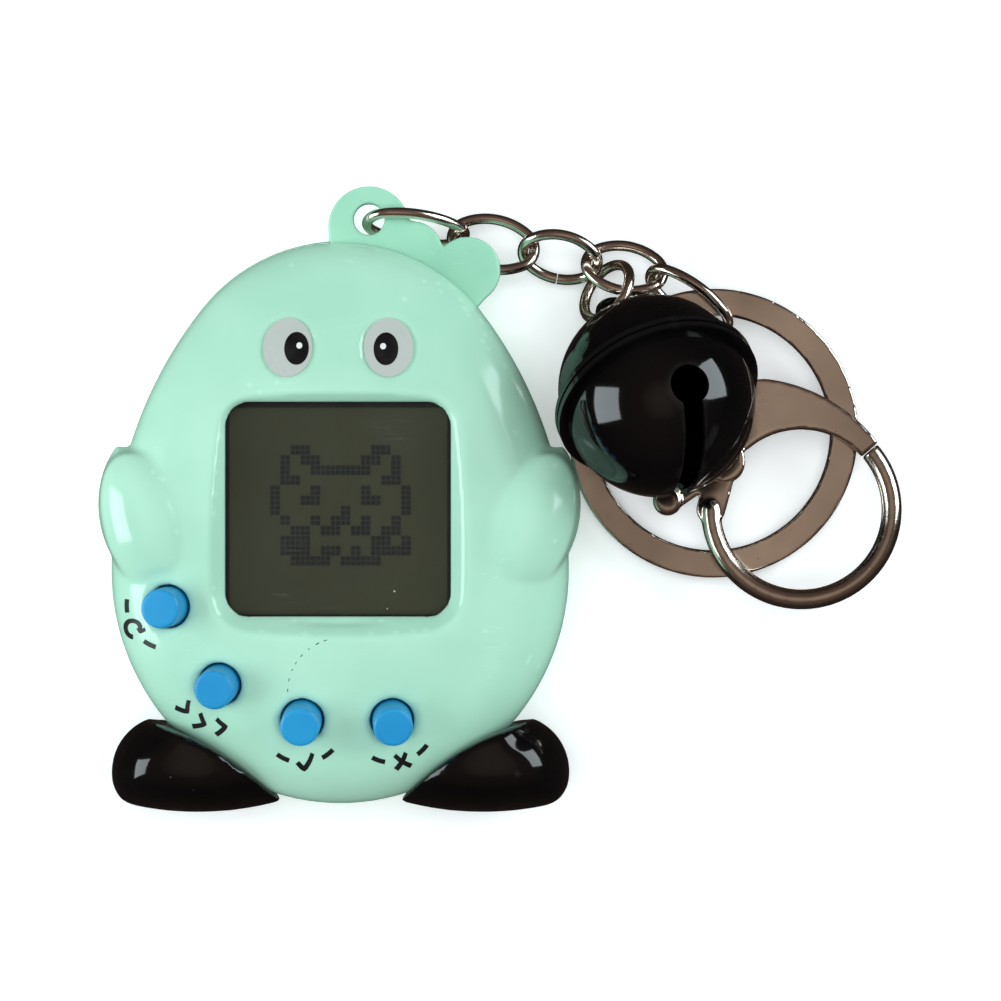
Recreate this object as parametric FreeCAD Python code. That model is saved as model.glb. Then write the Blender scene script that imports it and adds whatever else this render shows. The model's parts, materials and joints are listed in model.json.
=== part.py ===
"""Virtual pet keychain: an egg-shaped handheld game with feet, a comb with an eyelet, a chain,
a jingle bell, a split key ring and a lobster clasp. Millimetres, lying on its back, +Z out of
the screen, +Y towards the comb, origin in the middle of the flat back."""
import os
from math import asin, atan2, cos, pi, radians, sin, sqrt

import FreeCAD
import Part

V = FreeCAD.Vector

# ---- case ----
HALF_WIDTH = 23.4          # egg outline, at its widest
EGG_MID_Y = -5.0           # height at which the egg is widest
EGG_TOP = 28.9             # top of the egg above the origin
EGG_BOTTOM = -28.8
TOP_ARC_R = 18.0           # arcs over the two ends of the egg
BOTTOM_ARC_R = 21.8
WALL = 1.5
FAR = 40.0                 # reach of the blocks that cut away everything on one side
PARTING_Z = 7.0            # where the two shells meet
FRONT_Z = 16.2             # highest point of the front
CROWN_R = 85.0             # the front is part of a sphere this big, centred over CROWN_Y
CROWN_Y = -3.0
FRONT_ROUND = 6.5          # rounding between the front and the side
BACK_ROUND = 2.6           # rounding of the back edge

# ---- screen ----
SCREEN_X = 11.3            # half sizes of the screen opening
SCREEN_Y = 10.8
SCREEN_MID_Y = 1.3
SCREEN_CORNER = 2.3
BEVEL = 2.8                # width of the sloping frame round the opening
BEVEL_SINK = 1.3           # how far the slope goes down from the crown
SCREEN_RIM = 2.2           # thickness of the solid rim round the opening
POCKET = 1.1               # the window's pocket is this much bigger than the opening
WINDOW_TOP = 13.1
WINDOW_THICK = 0.8
LCD_TOP = 12.1
LCD_THICK = 1.8
BOARD_TOP = 9.4
BOARD_THICK = 1.0

# ---- eyes ----
EYE_X, EYE_Y = 5.1, 17.7
EYE_RX, EYE_RY = 2.5, 3.1
EYE_THICK = 0.25
EYE_RECESS = 0.35          # depth of the oval seat
EYE_SEAT_X, EYE_SEAT_Y = 0.45, 0.2   # how much bigger the seat is, each way

# ---- wings ----
WING_X, WING_Y, WING_Z = 18.9, -0.6, 9.4
WING_LONG, WING_WIDE = 9.3, 5.1      # half length and half width
WING_LEAN = (0.42, 0.9)              # its long axis, outwards and up
WING_FULLEST = -0.12                 # where it is widest, as a share of its half length

# ---- buttons: name, X and Y of the hole ----
BUTTONS = (("reset", -17.2, -8.5), ("select", -12.0, -16.4),
           ("decide", -3.6, -20.0), ("cancel", 5.5, -20.0))
BUTTON_R = 2.0
BUTTON_ROUND = 0.35
HOLE_R = 2.22
DISH_BALL_R = 6.0          # a ball this big hollows the dish round each button
DISH_DEPTH = 0.75
BUTTON_PROUD = 2.6
BUTTON_TRAVEL = 0.8
FLANGE_R = 2.9
FLANGE_THICK = 0.7
WALL_GAP = 0.15            # flange to the inside of the wall
PAD_R = 1.9
PAD_MIN = 0.5              # least height of a pad
PAD_CLEAR = 0.75           # room over a pad beyond the button's travel

# ---- screws, posts and the battery bay ----
CASE_SCREWS = ((-14.0, 16.0), (14.0, 16.0), (0.0, -25.0))
BOARD_SCREWS = ((-6.8, -13.3), (9.0, -13.3))
SCREW_R = 0.70
SCREW_HEAD_R, SCREW_HEAD = 1.4, 0.7
SCREW_SLOT, SCREW_SLOT_WIDE, SCREW_SLOT_DEEP = 1.5, 0.3, 0.35
CASE_SCREW_LONG, SHORT_SCREW_LONG = 7.2, 3.4
CASE_SCREW_TOP = 3.4       # seat of a case screw's head, above the flat back
PILOT_R = 0.72
BOSS_R, POST_R = 2.0, 2.4
PILOT_DEEP = 4.0
SCREW_CLEAR_R, SCREW_SINK_R = 1.15, 2.0
CELLS = ((-6.2, -6.5), (6.2, -6.5))
CELL_R, CELL_LOW, CELL_HIGH = 5.75, 1.75, 7.05
CONTACT_THICK = 0.2
DOOR_X, DOOR_Y, DOOR_MID_Y = 13.4, 7.4, -6.5
DOOR_CORNER, DOOR_THICK, DOOR_GAP = 1.4, 1.43, 0.12
DOOR_SCREW = (0.0, -0.6)
DOOR_SCREW_TOP = 0.75
DOOR_POST_R = 1.7
BAY_WALL, BAY_LEDGE, BAY_TOP = 0.8, 0.9, 7.4
GRIP_COUNT, GRIP_PITCH, GRIP_WIDE, GRIP_DEEP, GRIP_REACH = 5, 0.9, 0.4, 0.2, 3.0

# ---- board and buzzer ----
BOARD_INSET = 5.0          # board edge inside the egg's outline
BOARD_NOTCH_R, BOARD_HOLE_R = 2.6, 0.9
BLOB_R, BLOB_DEEP = 6.0, 1.3
BLOB_X, BLOB_Y = 4.0, 6.0
BUZZER_Y = 14.0
BUZZER_R, BUZZER_TOP_R = 5.6, 4.0
BUZZER_HOLE_R, BUZZER_HOLE_PITCH = 0.55, 2.4

# ---- comb with eyelet ----
COMB_THICK = 2.0
COMB_TOP = 7.0
EYELET = (2.9, 30.3, 4.2)  # X, Y, radius
EYELET_HOLE = (2.9, 31.1, 1.6)
COMB_LOBES = ((7.4, 27.9, 3.0), (13.0, 25.9, 3.4))

# ---- feet ----
FOOT_LOW, FOOT_HIGH = 0.4, 14.0
FOOT_CORNERS = ((19.8, -20.2), (22.6, -28.7), (6.1, -28.6))
FOOT_BULGES = ((23.4, -24.6), (14.6, -29.7), (13.2, -22.6))
FOOT_HEEL_ROUND = 3.2
FOOT_PILLOW_R = 15.0
FOOT_SAUCER_R = 24.0

# ---- chain ----
WIRE = 1.1
LINK_GAP = 0.14            # butt joint of each bent link
CONTACT = WIRE + 0.12      # centre-line distance of two hooked wires

# ---- bell ----
BELL_R = 9.7
BELL_WALL = 0.5
BELL_CENTRE = V(32.4, 12.2, 14.3)
BELL_HEADING = 113.0       # direction of its loop, seen from above
BELL_DIP = 38.0            # how far the loop points down
BELL_SPLIT = 1.6           # straight part between its two half spheres
BELL_FLANGE_R = 10.6
BELL_LIP = 0.55            # thickness of each half's lip
BELL_LIP_GAP = 0.3
SLOT_WIDTH = 2.1
KEYHOLE_R = 2.0
KEYHOLE_ANGLE = 56.0       # from the bottom pole
PELLET_R = 2.3
LOOP_R, LOOP_WIRE_R = 2.0, 0.45
LOOP_OUT = BELL_SPLIT + BELL_R + 1.2   # centre of the loop's hole, from the bell's centre

JUMP_LENGTH, JUMP_WIDTH = 7.9, 7.4
JUMP_CENTRE = V(27.4, 23.79, 3.65)
JUMP_ALONG = V(0.058, -0.699, 0.713)
JUMP_ACROSS = V(0.72, 0.524, 0.455)

# ---- split ring ----
RING_R = 15.0
RING_BAND = 2.8
RING_COIL = 0.84
RING_COIL_GAP = 0.06
RING_CENTRE = V(38.5, 9.2, 1.87)
RING_TURN = 165.0          # where the coil steps up, under the bell
RING_TILT = 3.2            # the chain holds its near side up by this angle

# ---- lobster clasp ----
CLASP_CENTRE = V(47.4, 1.3, 5.02)
CLASP_HEADING = 128.06
CLASP_DIP = 5.2            # it leans on the ring, its swivel end lower
CLASP_R = 9.3              # centre line of its round part
CLASP_WIRE_R = 1.05
PIVOT = (8.8, 3.2)         # gate pivot, in the clasp's own frame
KNOB = (9.2, 10.3)
NECK = (12.2, 15.6)        # the swivel's socket, along the clasp's axis
NECK_R = 1.5
EYE_ALONG = 24.66          # swivel eye, along the clasp's axis
EYE_LENGTH, EYE_WIDTH, EYE_WIRE = 8.24, 5.13, 1.0
SWIVEL_ROLL = 16.0         # how far the eye lies over


def save(name, shape):
    if isinstance(shape, (list, tuple)):
        shape = Part.makeCompound(list(shape))
    if not shape.isValid():
        print("not valid:", name)
    shape.exportStep("parts/%s.step" % name)


def box(x0, x1, y0, y1, z0, z1):
    return Part.makeBox(x1 - x0, y1 - y0, z1 - z0, V(x0, y0, z0))


def disc(x, y, z0, z1, r):
    return Part.makeCylinder(r, z1 - z0, V(x, y, z0))


def frame(origin, x_axis, y_hint):
    """Placement whose X is x_axis and whose Y is as near y_hint as it can be."""
    x = V(x_axis).normalize()
    z = x.cross(y_hint).normalize()
    y = z.cross(x)
    m = FreeCAD.Matrix(x.x, y.x, z.x, origin.x, x.y, y.y, z.y, origin.y,
                       x.z, y.z, z.z, origin.z, 0, 0, 0, 1)
    return FreeCAD.Placement(m)


def placed(shape, placement):
    out = shape.copy()
    out.Placement = placement.multiply(out.Placement)
    return out


def heading(degrees, dip=0.0):
    a, d = radians(degrees), radians(dip)
    return V(cos(a) * cos(d), sin(a) * cos(d), -sin(d))


# ---------------------------------------------------------------- egg outline and dome

def egg_face(z, inset=0.0):
    """Flat egg: an arc over each end and a longer arc down each side of both halves."""
    a = HALF_WIDTH - inset
    edges = []
    for tip, r, up in ((EGG_TOP, TOP_ARC_R, 1), (EGG_BOTTOM, BOTTOM_ARC_R, -1)):
        b = abs(tip - EGG_MID_Y) - inset
        r = r - inset
        side_r = (a * a + (b - r) ** 2 - r * r) / (2 * (a - r))
        join_x = r * (side_r - a) / (side_r - r)
        join_y = b - r + r * (b - r) / (side_r - r)
        mid_angle = 0.5 * atan2(join_y, join_x + side_r - a)
        mid_x = a - side_r + side_r * cos(mid_angle)
        mid_y = side_r * sin(mid_angle)
        join = [V(s * join_x, EGG_MID_Y + up * join_y, z) for s in (-1, 1)]
        edges.append(Part.Arc(join[0], V(0, EGG_MID_Y + up * b, z), join[1]).toShape())
        for s, end in ((-1, join[0]), (1, join[1])):
            wide = V(s * a, EGG_MID_Y, z)
            bulge = V(s * mid_x, EGG_MID_Y + up * mid_y, z)
            edges.append(Part.Arc(wide, bulge, end).toShape())
    return Part.Face(Part.Wire(Part.__sortEdges__(edges)))


def pebble(inset=0.0):
    """The whole egg as one solid: flat back, crowned front, rounded edges, inset by a wall."""
    solid = egg_face(inset, inset).extrude(V(0, 0, 30))
    crown = Part.makeSphere(CROWN_R - inset, V(0, CROWN_Y, FRONT_Z - CROWN_R))
    solid = solid.common(crown)
    top = [e for e in solid.Edges if e.BoundBox.ZMin > PARTING_Z and e.BoundBox.YLength > 5
           and e.BoundBox.ZLength < 5]
    solid = solid.makeFillet(FRONT_ROUND - inset, top)
    low = [e for e in solid.Edges if e.BoundBox.ZMax < inset + 0.01]
    return solid.makeFillet(BACK_ROUND - inset * 0.6, low)


PEBBLE = pebble()


def dome_z(x, y):
    """Height of the front surface over a point."""
    plumb = Part.makeLine(V(x, y, 1), V(x, y, 40))
    return plumb.common(PEBBLE).BoundBox.ZMax


def dome_normal(x, y):
    step = 0.1
    dx = (dome_z(x + step, y) - dome_z(x - step, y)) / (2 * step)
    dy = (dome_z(x, y + step) - dome_z(x, y - step)) / (2 * step)
    return V(-dx, -dy, 1).normalize()


def rounded_slab(x, y, corner, mid_y, z0, z1, draft=0.0):
    """Rounded rectangle from z0 to z1, wider at the top by draft."""
    wires = []
    for z, grow in ((z0, 0.0), (z1, draft)):
        a, b, r = x + grow, y + grow, corner + grow
        k = r * (1 - sqrt(0.5))
        edges = []
        for sx, sy in ((1, 1), (-1, 1), (-1, -1), (1, -1)):
            side = V(sx * a, mid_y + sy * (b - r), z)
            mid = V(sx * (a - k), mid_y + sy * (b - k), z)
            end = V(sx * (a - r), mid_y + sy * b, z)
            if sx * sy < 0:
                side, end = end, side
            edges.append((side, mid, end))
        parts = []
        for i, (p, q, s) in enumerate(edges):
            parts.append(Part.Arc(p, q, s).toShape())
            parts.append(Part.LineSegment(s, edges[(i + 1) % 4][0]).toShape())
        wires.append(Part.Wire(parts))
    return Part.makeLoft(wires, True, True)


def wing(side):
    """A folded wing: an egg-shaped bump, leaning in at its lower end."""
    start, end = V(-WING_LONG, 0, 0), V(WING_LONG, 0, 0)
    low = V(WING_FULLEST * WING_LONG, 0, -WING_WIDE)
    profile = Part.Wire([Part.Arc(start, low, end).toShape(), Part.LineSegment(end, start).toShape()])
    bump = Part.Face(profile).revolve(V(0, 0, 0), V(1, 0, 0), 360)
    out, up = WING_LEAN
    lean = V(side * out, up, 0)
    across = V(-up, side * out, 0)
    return placed(Part.Solid(bump), frame(V(side * WING_X, WING_Y, WING_Z), lean, across))


def button_axis(x, y):
    n = dome_normal(x, y)
    return V(x, y, dome_z(x, y)), n


def along(p, n, t):
    return p + n * t


def rod(p, n, t0, t1, r):
    return Part.makeCylinder(r, t1 - t0, along(p, n, t0), n)


# ---------------------------------------------------------------- feet and comb

def foot(side):
    """One shoe: a pillow-topped block that laps over the rounded edge of the egg."""
    top, heel, toe = [V(side * x, y, FOOT_LOW) for x, y in FOOT_CORNERS]
    outer, sole, inner = [V(side * x, y, FOOT_LOW) for x, y in FOOT_BULGES]
    outline = [Part.Arc(top, outer, heel).toShape(), Part.Arc(heel, sole, toe).toShape(),
               Part.Arc(toe, inner, top).toShape()]
    block = Part.Face(Part.Wire(outline)).extrude(V(0, 0, FOOT_HIGH - FOOT_LOW))
    corner = [e for e in block.Edges if e.BoundBox.ZLength > 5
              and abs(e.CenterOfMass.x - heel.x) < 0.1]
    block = block.makeFillet(FOOT_HEEL_ROUND, corner)
    middle_x, middle_y = side * 15.4, -24.6
    pillow = Part.makeSphere(FOOT_PILLOW_R, V(middle_x, middle_y, FOOT_HIGH - FOOT_PILLOW_R))
    saucer = Part.makeSphere(FOOT_SAUCER_R, V(middle_x, middle_y, FOOT_LOW + FOOT_SAUCER_R))
    return block.common(pillow).common(saucer).cut(PEBBLE)


def comb_plate():
    z0, z1 = COMB_TOP - COMB_THICK, COMB_TOP
    plate = disc(EYELET[0], EYELET[1], z0, z1, EYELET[2])
    for x, y, r in COMB_LOBES:
        plate = plate.fuse(disc(x, y, z0, z1, r))
    root = [(-1.3, 30.0), (-0.8, 24.6), (13.6, 21.6), (15.9, 24.2), (12.2, 27.2), (7.4, 29.4)]
    points = [V(x, y, z0) for x, y in root]
    web = Part.Face(Part.makePolygon(points + [points[0]])).extrude(V(0, 0, COMB_THICK))
    plate = plate.fuse(web).removeSplitter()
    return plate.cut(disc(EYELET_HOLE[0], EYELET_HOLE[1], z0 - 1, z1 + 1, EYELET_HOLE[2]))


# ---------------------------------------------------------------- case parts

def make_case():
    front_half = box(-FAR, FAR, -FAR, FAR, PARTING_Z, FAR)
    outer = PEBBLE
    for side in (-1, 1):
        outer = outer.fuse(wing(side))
    hollow = pebble(WALL)
    save("front_shell", front_shell(outer.common(front_half).cut(hollow), front_half))
    save("back_shell", back_shell(outer.cut(front_half).cut(hollow)))
    save("comb_eyelet", comb_plate())
    save("left_foot", foot(-1))
    save("right_foot", foot(1))


def front_shell(front, front_half):
    """The front with its screen frame, eye seats, button holes and screw bosses."""
    outer_dome = PEBBLE.common(front_half)
    # screen frame: a solid rim, a straight opening, the window's pocket and a sloping bevel
    low = dome_z(0, SCREEN_MID_Y + SCREEN_Y) - BEVEL_SINK
    rim = rounded_slab(SCREEN_X + SCREEN_RIM, SCREEN_Y + SCREEN_RIM, SCREEN_CORNER, SCREEN_MID_Y,
                       WINDOW_TOP, low + 0.35)
    front = front.fuse(rim.common(outer_dome))
    front = front.cut(rounded_slab(SCREEN_X, SCREEN_Y, SCREEN_CORNER, SCREEN_MID_Y,
                                   BOARD_TOP, FRONT_Z + 1))
    front = front.cut(rounded_slab(SCREEN_X + POCKET, SCREEN_Y + POCKET, 1.6, SCREEN_MID_Y,
                                   BOARD_TOP, WINDOW_TOP + 0.02))
    front = front.cut(rounded_slab(SCREEN_X, SCREEN_Y, SCREEN_CORNER, SCREEN_MID_Y,
                                   low, low + 3.0, BEVEL))
    for side in (-1, 1):
        front = front.cut(oval(side, EYE_RX + EYE_SEAT_X, EYE_RY + EYE_SEAT_Y, -EYE_RECESS, 3.0))
    for name, x, y in BUTTONS:
        p, n = button_axis(x, y)
        front = front.cut(rod(p, n, -6, 4, HOLE_R))
        front = front.cut(Part.makeSphere(DISH_BALL_R, along(p, n, DISH_BALL_R - DISH_DEPTH)))
    for x, y in CASE_SCREWS + BOARD_SCREWS:
        bottom = PARTING_Z + 0.1 if (x, y) in CASE_SCREWS else BOARD_TOP + 0.05
        boss = disc(x, y, bottom, FRONT_Z + 1, BOSS_R).common(outer_dome)
        front = front.fuse(boss).cut(disc(x, y, bottom - 1, bottom + PILOT_DEEP, PILOT_R))
    return front.removeSplitter()


def back_shell(back):
    """The back with its comb slot, screw posts, battery bay and buzzer holes."""
    slot = box(-1.4, 16.4, 20, FAR, COMB_TOP - COMB_THICK, PARTING_Z + 1)
    back = back.cut(slot.common(comb_seat()))
    for x, y in CASE_SCREWS:
        back = back.fuse(disc(x, y, WALL - 0.2, PARTING_Z, POST_R))
        back = back.cut(disc(x, y, -1, FAR, SCREW_CLEAR_R))
        back = back.cut(disc(x, y, -1, CASE_SCREW_TOP, SCREW_SINK_R))
    bay = rounded_slab(DOOR_X, DOOR_Y, 1.5, DOOR_MID_Y, -1, WALL - 0.05)
    wall = rounded_slab(DOOR_X + BAY_WALL, DOOR_Y + BAY_WALL, 2.0, DOOR_MID_Y, WALL - 0.2, BAY_TOP)
    hole = rounded_slab(DOOR_X - BAY_LEDGE, DOOR_Y - BAY_LEDGE, 1.2, DOOR_MID_Y, -1, 9)
    back = back.fuse(wall).cut(hole).cut(bay)
    x, y = DOOR_SCREW
    back = back.fuse(disc(x, y, WALL - 0.05, PARTING_Z, DOOR_POST_R))
    back = back.cut(disc(x, y, 1.0, 5.0, PILOT_R))
    for x, y in buzzer_holes():
        back = back.cut(disc(x, y, -1, WALL + 1, BUZZER_HOLE_R))
    return back


def comb_seat():
    """The comb's own outline, a hair larger, as a cutter."""
    return comb_plate().fuse(disc(EYELET_HOLE[0], EYELET_HOLE[1], 4, 8, EYELET_HOLE[2]))


def buzzer_holes():
    holes = [(0.0, BUZZER_Y)]
    for i in range(6):
        a = i * pi / 3
        holes.append((BUZZER_HOLE_PITCH * cos(a), BUZZER_Y + BUZZER_HOLE_PITCH * sin(a)))
    return holes


def oval(side, rx, ry, t0, t1):
    """An upright oval slab standing on the dome at one eye, from t0 to t1 off the surface."""
    x, y = side * EYE_X, EYE_Y
    n = dome_normal(x, y)
    ellipse = Part.Ellipse(V(0, 0, 0), ry, rx).toShape()
    slab = Part.Face(Part.Wire([ellipse])).extrude(V(0, 0, t1 - t0))
    origin = along(V(x, y, dome_z(x, y)), n, t0)
    return placed(slab, frame(origin, V(0, 1, 0) - n * n.y, n.cross(V(0, 1, 0))))


def make_face():
    for name, side in (("left_eye", -1), ("right_eye", 1)):
        save(name, oval(side, EYE_RX, EYE_RY, -EYE_RECESS, EYE_THICK - EYE_RECESS))
    z0 = WINDOW_TOP - WINDOW_THICK
    save("screen_window", rounded_slab(SCREEN_X + 1.0, SCREEN_Y + 1.0, 1.5, SCREEN_MID_Y,
                                       z0, WINDOW_TOP))
    save("lcd_glass", rounded_slab(SCREEN_X + 0.8, SCREEN_Y + 1.0, 0.3, SCREEN_MID_Y,
                                   LCD_TOP - LCD_THICK, LCD_TOP))
    strips = []
    for side in (-1, 1):
        y = SCREEN_MID_Y + side * (SCREEN_Y - 0.4)
        strips.append(box(-SCREEN_X, SCREEN_X, y - 0.9, y + 0.9, BOARD_TOP, LCD_TOP - LCD_THICK))
    save("contact_strips", strips)


def make_inside():
    z0, z1 = BOARD_TOP - BOARD_THICK, BOARD_TOP
    board = egg_face(z0, BOARD_INSET).extrude(V(0, 0, BOARD_THICK))
    for x, y in CASE_SCREWS:
        board = board.cut(disc(x, y, z0 - 1, z1 + 1, BOARD_NOTCH_R))
    for x, y in BOARD_SCREWS:
        board = board.cut(disc(x, y, z0 - 1, z1 + 1, BOARD_HOLE_R))
    save("circuit_board", board)

    blob = Part.makeSphere(BLOB_R, V(BLOB_X, BLOB_Y, z0 - BLOB_DEEP + BLOB_R))
    save("chip_blob", blob.common(box(-FAR, FAR, -FAR, FAR, z0 - BLOB_DEEP, z0)))
    plate = disc(0, BUZZER_Y, WALL + 0.05, WALL + 0.35, BUZZER_R)
    save("buzzer_disc", plate.fuse(disc(0, BUZZER_Y, WALL + 0.35, WALL + 0.6, BUZZER_TOP_R)))
    save("battery_cells", [disc(x, y, CELL_LOW, CELL_HIGH, CELL_R) for x, y in CELLS])

    contacts = [box(-12.0, 12.0, -9.0, -4.0, CELL_HIGH + 0.05, CELL_HIGH + 0.3)]
    for x, y in CELLS:
        contacts.append(box(x - 1.2, x + 1.2, y - 2.0, y + 4.2, WALL, WALL + CONTACT_THICK))
    save("battery_contacts", contacts)
    save("case_screws", [screw(x, y, CASE_SCREW_TOP, CASE_SCREW_LONG) for x, y in CASE_SCREWS])
    save("board_screws", [screw(x, y, z0, SHORT_SCREW_LONG) for x, y in BOARD_SCREWS])
    save("battery_door", battery_door())
    save("battery_door_screw", screw(*DOOR_SCREW, DOOR_SCREW_TOP, SHORT_SCREW_LONG))


def battery_door():
    """The door with its sunk screw hole and a row of grip grooves."""
    x, y = DOOR_SCREW
    door = rounded_slab(DOOR_X - DOOR_GAP, DOOR_Y - DOOR_GAP, DOOR_CORNER, DOOR_MID_Y,
                        0.0, DOOR_THICK)
    door = door.cut(disc(x, y, -1, 3, SCREW_R + 0.2))
    door = door.cut(disc(x, y, -1, DOOR_SCREW_TOP, SCREW_HEAD_R + 0.2))
    first = DOOR_MID_Y - 5.4
    for i in range(GRIP_COUNT):
        y = first + GRIP_PITCH * i
        door = door.cut(box(-GRIP_REACH, GRIP_REACH, y, y + GRIP_WIDE, -1, GRIP_DEEP))
    return door


def screw(x, y, head_top, length):
    """A cross-headed screw pointing up, its head below head_top."""
    head = disc(x, y, head_top - SCREW_HEAD, head_top, SCREW_HEAD_R)
    body = head.fuse(disc(x, y, head_top, head_top + length, SCREW_R))
    for w, h in ((SCREW_SLOT, SCREW_SLOT_WIDE), (SCREW_SLOT_WIDE, SCREW_SLOT)):
        body = body.cut(box(x - w / 2, x + w / 2, y - h / 2, y + h / 2,
                            head_top - 1, head_top - SCREW_SLOT_DEEP))
    return body


def make_buttons():
    for name, x, y in BUTTONS:
        p, n = button_axis(x, y)
        wall = WALL / n.z + 0.35
        top = -wall - WALL_GAP
        stem = rod(p, n, top, BUTTON_PROUD, BUTTON_R)
        edge = [e for e in stem.Edges if e.Curve.TypeId == "Part::GeomCircle"
                and (e.Curve.Center - along(p, n, BUTTON_PROUD)).Length < 0.01]
        stem = stem.makeFillet(BUTTON_ROUND, edge)
        save(name + "_button", stem.fuse(rod(p, n, top - FLANGE_THICK, top, FLANGE_R)))
        # rubber dome between the button and the board
        gap = (along(p, n, top - FLANGE_THICK).z - BOARD_TOP)
        foot_x = p.x + n.x * (top - FLANGE_THICK)
        foot_y = p.y + n.y * (top - FLANGE_THICK)
        pad_top = BOARD_TOP + max(gap - BUTTON_TRAVEL - PAD_CLEAR, PAD_MIN)
        save(name + "_pad", disc(foot_x, foot_y, BOARD_TOP, pad_top, PAD_R))


# ---------------------------------------------------------------- chain

def oval_link(length, width, gap=LINK_GAP, wire=WIRE):
    """A bent wire oval in its own XY plane, its butt joint in the middle of the -Y side."""
    a, b = (length - wire) / 2, (width - wire) / 2
    r = b * 0.78
    h = ((a - r) ** 2 - (b - r) ** 2) / (2 * (b - r))
    big = b + h
    tx, ty = (a - r) * big / (big - r), h * r / (big - r)
    mid = V(0, -b, 0)
    near = V(gap / 2, -sqrt(big * big - gap * gap / 4) + h, 0)
    qx = big * sin(0.5 * asin(tx / big))
    right = V(qx, h - sqrt(big * big - qx * qx), 0)
    edges = [Part.Arc(near, right, V(tx, -ty, 0)).toShape(),
             Part.Arc(V(tx, -ty, 0), V(a, 0, 0), V(tx, ty, 0)).toShape(),
             Part.Arc(V(tx, ty, 0), V(0, b, 0), V(-tx, ty, 0)).toShape(),
             Part.Arc(V(-tx, ty, 0), V(-a, 0, 0), V(-tx, -ty, 0)).toShape(),
             Part.Arc(V(-tx, -ty, 0), V(-right.x, right.y, 0), V(-near.x, near.y, 0)).toShape()]
    path = Part.Wire(edges)
    tangent = V(edges[0].tangentAt(edges[0].FirstParameter))
    profile = Part.Wire([Part.makeCircle(wire / 2, near, tangent)])
    return path.makePipeShell([profile], True, False)


LINKS = (  # outer length, outer width, heading, dip, roll of the width axis from level
    (11.6, 7.2, -10.0, 22.0, 64.0),
    (9.8, 7.0, -11.0, 2.0, -26.0),
    (9.0, 6.9, -11.0, -3.0, 42.0),
    (9.2, 6.9, -9.0, 1.0, -34.0),
    (10.7, 6.9, -36.0, -1.2, 59.0),
)


def link_axes(index):
    length, width, head, dip, roll = LINKS[index]
    u = heading(head, dip)
    level = V(0, 0, 1).cross(u).normalize()
    up = u.cross(level)
    v = level * cos(radians(roll)) + up * sin(radians(roll))
    return u, v


def link_places():
    """Centre of every link: each end hooks the next one a contact's distance away."""
    start = V(EYELET_HOLE[0], EYELET_HOLE[1], COMB_TOP - 0.4)
    centres = []
    for i in range(len(LINKS)):
        u, v = link_axes(i)
        reach = (LINKS[i][0] - WIRE) / 2
        centre = start + u * reach
        centres.append(centre)
        start = centre + u * (reach - CONTACT)
    return centres


def make_chain():
    for i, centre in enumerate(link_places()):
        u, v = link_axes(i)
        link = oval_link(LINKS[i][0], LINKS[i][1])
        save("chain_link_%d" % (i + 1), placed(link, frame(centre, u, v)))


# ---------------------------------------------------------------- bell

def bell_frame():
    """Placement whose Z is the bell's axis, towards its loop, and whose X faces the keyhole."""
    a = heading(BELL_HEADING, BELL_DIP)
    keyhole = V(0.28, 0.14, 0.95)
    side = (keyhole - a * keyhole.dot(a)).normalize()
    m = FreeCAD.Matrix(side.x, a.cross(side).x, a.x, BELL_CENTRE.x,
                       side.y, a.cross(side).y, a.y, BELL_CENTRE.y,
                       side.z, a.cross(side).z, a.z, BELL_CENTRE.z, 0, 0, 0, 1)
    return FreeCAD.Placement(m)


def capsule(r):
    """Two half spheres with a short straight part between them."""
    ends = Part.makeSphere(r).fuse(Part.makeSphere(r, V(0, 0, BELL_SPLIT)))
    return ends.fuse(disc(0, 0, 0, BELL_SPLIT, r))


def make_bell():
    place = bell_frame()
    ball, hollow = capsule(BELL_R), capsule(BELL_R - BELL_WALL)
    middle = BELL_SPLIT / 2
    upper, lower = middle + BELL_LIP_GAP / 2, middle - BELL_LIP_GAP / 2
    top = ball.fuse(disc(0, 0, upper, upper + BELL_LIP, BELL_FLANGE_R)).cut(hollow)
    top = top.common(box(-20, 20, -20, 20, middle, 30))
    bowl = ball.fuse(disc(0, 0, lower - BELL_LIP, lower, BELL_FLANGE_R)).cut(hollow)
    bowl = bowl.common(box(-20, 20, -20, 20, -20, middle))
    k = radians(KEYHOLE_ANGLE)
    reach, low = BELL_R * sin(k), -BELL_R * cos(k)
    bowl = bowl.cut(box(-reach, reach, -SLOT_WIDTH / 2, SLOT_WIDTH / 2, -BELL_R - 1, low))
    for side in (-1, 1):
        out = V(side * sin(k), 0, -cos(k))
        bowl = bowl.cut(Part.makeCylinder(KEYHOLE_R, 6, out * (BELL_R - 3), out))
    loop = Part.makeTorus(LOOP_R, LOOP_WIRE_R, V(0, 0, LOOP_OUT), V(1, 0.08, 0))
    top = top.cut(loop)
    save("bell_top", placed(top, place))
    save("bell_bowl", placed(bowl, place))
    save("bell_loop", placed(loop, place))
    pellet = Part.makeSphere(PELLET_R, BELL_CENTRE - V(0, 0, BELL_R - BELL_WALL - PELLET_R - 0.15))
    save("bell_pellet", pellet)


def make_jump_ring():
    """Ring through the fourth link and the bell's loop."""
    ring = oval_link(JUMP_LENGTH, JUMP_WIDTH)
    save("bell_jump_ring", placed(ring, frame(JUMP_CENTRE, JUMP_ALONG, JUMP_ACROSS)))


# ---------------------------------------------------------------- split ring

def ring_section(angle, z):
    """Closed rectangular section of the flat wire at an angle round the ring."""
    c, s = cos(radians(angle)), sin(radians(angle))
    inner = RING_R - RING_BAND
    corners = [(inner, z), (RING_R, z), (RING_R, z + RING_COIL), (inner, z + RING_COIL)]
    points = [V(r * c, r * s, h) for r, h in corners]
    return Part.makePolygon(points + [points[0]])


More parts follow.
